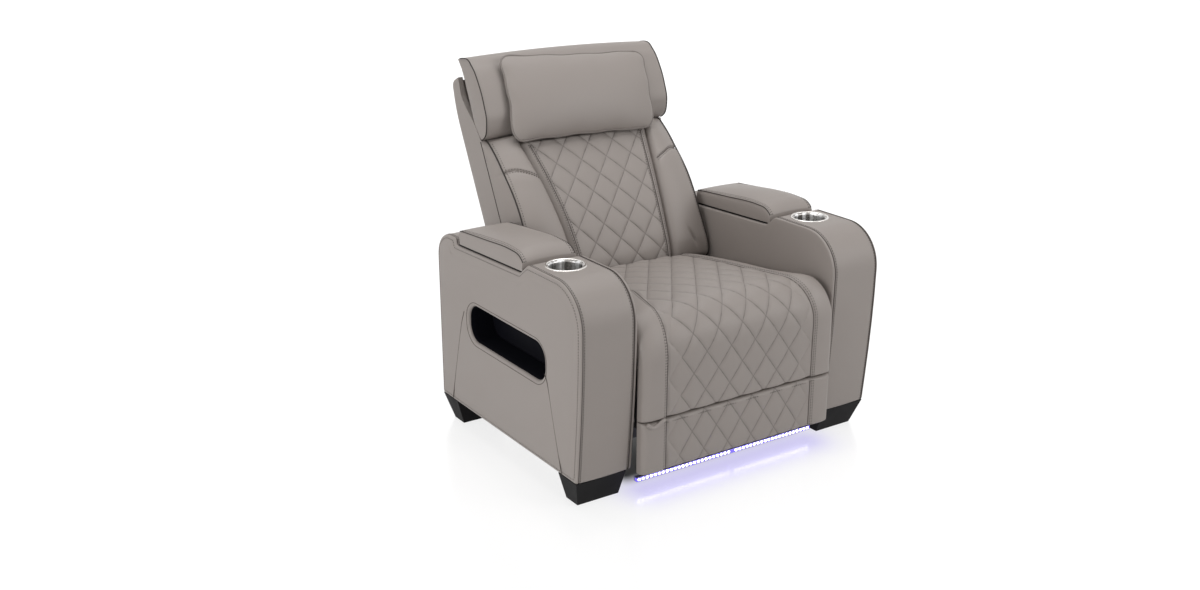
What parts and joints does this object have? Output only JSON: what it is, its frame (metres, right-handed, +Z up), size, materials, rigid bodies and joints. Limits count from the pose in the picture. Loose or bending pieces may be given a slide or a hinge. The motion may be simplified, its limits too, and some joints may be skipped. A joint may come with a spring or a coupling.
{
  "type": "cinema recliner seat",
  "caption": "Powered cinema recliner with quilted seat and leg rest, tilting headrest, console arms with lidded storage, cup holders, side pockets and an under-seat light bar.",
  "frame": {"origin": "on the floor under the middle of the seat's plan", "axes": "+Z up; the sitter faces -Y; +X towards the sitter's left"},
  "size_m": [0.99, 1.0298, 1.0099],
  "materials": {
    "leather": "smooth warm grey leather, semi-matt",
    "dark_plastic": "black moulded",
    "pocket_lining": "black lining with a faint blue glow",
    "stainless_steel": "brushed stainless steel",
    "zinc_steel": "zinc plated",
    "black_foot": "black satin block",
    "black_steel": "black powder coat",
    "light_profile": "extruded profile",
    "light_lens": "lit blue-white light strip",
    "button_metal": "satin",
    "nylon": "natural nylon",
    "plywood": "plain plywood"
  },
  "bodies": {
    "base": {"arm_outer_panel_left": "leather", "arm_outer_panel_right": "leather", "arm_inner_panel_left": "leather", "arm_inner_panel_right": "leather", "arm_band_left": "leather", "arm_band_right": "leather", "arm_bin_left": "dark_plastic", "arm_bin_right": "dark_plastic", "cup_holder_left": "stainless_steel", "cup_holder_right": "stainless_steel", "pocket_liner_left": "pocket_lining", "pocket_liner_right": "pocket_lining", "foot_front_left": "black_foot", "foot_front_right": "black_foot", "foot_rear_left": "black_foot", "foot_rear_right": "black_foot", "base_rail_left": "black_steel", "base_rail_right": "black_steel", "lid_pins": "zinc_steel", "cross_tubes": "black_steel", "led_bar": "light_profile", "led_strip": "light_lens", "power_box": "dark_plastic", "switch_panel": "dark_plastic"},
    "lid_left": {"lid_board_left": "dark_plastic", "lid_pad_left": "leather"},
    "lid_right": {"lid_board_right": "dark_plastic", "lid_pad_right": "leather"},
    "recline_button": {"recline_button": "button_metal"},
    "leg_button": {"leg_button": "button_metal"},
    "head_button": {"head_button": "button_metal"},
    "light_button": {"light_button": "button_metal"},
    "seat": {"seat_plate_left": "black_steel", "seat_plate_right": "black_steel", "seat_rails": "black_steel", "seat_springs": "zinc_steel", "glide_shoes": "nylon", "seat_cushion": "leather", "chaise_roll": "leather", "leg_motor": "dark_plastic", "recline_motor": "dark_plastic"},
    "recline_rod": {"recline_rod": "zinc_steel"},
    "torque": {"torque_tube": "zinc_steel"},
    "links": {"push_links": "zinc_steel"},
    "leg_rest": {"leg_board": "plywood", "leg_brackets": "black_steel", "leg_pad_upper": "leather", "leg_pad_lower": "leather"},
    "back": {"back_frame": "black_steel", "back_board": "plywood", "back_shell": "leather", "back_flap": "leather", "back_cushion": "leather", "wing_left": "leather", "wing_right": "leather", "head_motor": "dark_plastic"},
    "head_rod": {"head_rod": "zinc_steel"},
    "headrest": {"head_frame": "black_steel", "head_pad": "leather", "head_pillow": "leather"}
  },
  "joints": [
    {"name": "seat_glide", "type": "slide", "parent": "base", "child": "seat", "axis": [0, -0.9903, 0.1392], "range_m": [0, 0.075]},
    {"name": "back_recline", "type": "hinge", "parent": "seat", "child": "back", "pos_m": [0, 0.12009, 0.385], "axis": [-1, 0, 0], "range_deg": [0, 35.05]},
    {"name": "recline_rod_slide", "type": "slide", "parent": "seat", "child": "recline_rod", "axis": [0, -1, 0], "range_m": [0, 0.0667]},
    {"name": "leg_rest_lift", "type": "hinge", "parent": "seat", "child": "leg_rest", "pos_m": [0, -0.45491, 0.415], "axis": [-1, 0, 0], "range_deg": [0, 90], "deforming": ["chaise_roll"]},
    {"name": "torque_tube_turn", "type": "hinge", "parent": "seat", "child": "torque", "pos_m": [0, -0.38491, 0.315], "axis": [-1, 0, 0], "range_deg": [0, 90.1]},
    {"name": "push_link_turn", "type": "hinge", "parent": "torque", "child": "links", "pos_m": [0, -0.38991, 0.2], "axis": [-1, 0, 0], "range_deg": [-90.1, 0]},
    {"name": "headrest_tilt", "type": "hinge", "parent": "back", "child": "headrest", "pos_m": [0, 0.26899, 0.79795], "axis": [1, 0, 0], "range_deg": [0, 30]},
    {"name": "headrest_rod_slide", "type": "slide", "parent": "back", "child": "head_rod", "axis": [0, 0.4462, 0.8949], "range_m": [0, 0.04]},
    {"name": "lid_left_open", "type": "hinge", "parent": "base", "child": "lid_left", "pos_m": [0.41, 0.12609, 0.572], "axis": [-1, 0, 0], "range_deg": [0, 85]},
    {"name": "lid_right_open", "type": "hinge", "parent": "base", "child": "lid_right", "pos_m": [-0.41, 0.12609, 0.572], "axis": [-1, 0, 0], "range_deg": [0, 85]},
    {"name": "recline_button_press", "type": "slide", "parent": "base", "child": "recline_button", "axis": [-1, 0, 0], "range_m": [0, 0.0015], "stiffness_N_per_m": 900},
    {"name": "leg_button_press", "type": "slide", "parent": "base", "child": "leg_button", "axis": [-1, 0, 0], "range_m": [0, 0.0015], "stiffness_N_per_m": 900},
    {"name": "head_button_press", "type": "slide", "parent": "base", "child": "head_button", "axis": [-1, 0, 0], "range_m": [0, 0.0015], "stiffness_N_per_m": 900},
    {"name": "light_button_press", "type": "slide", "parent": "base", "child": "light_button", "axis": [-1, 0, 0], "range_m": [0, 0.0015], "stiffness_N_per_m": 900}
  ],
  "couplings": [
    {"joint": "back_recline", "follows": "seat_glide", "rad_per_m": 8.1449},
    {"joint": "recline_rod_slide", "follows": "seat_glide", "ratio": 0.88284},
    {"joint": "torque_tube_turn", "follows": "leg_rest_lift", "ratio": 1},
    {"joint": "push_link_turn", "follows": "leg_rest_lift", "ratio": -1},
    {"joint": "headrest_rod_slide", "follows": "headrest_tilt", "m_per_rad": 0.075738}
  ]
}
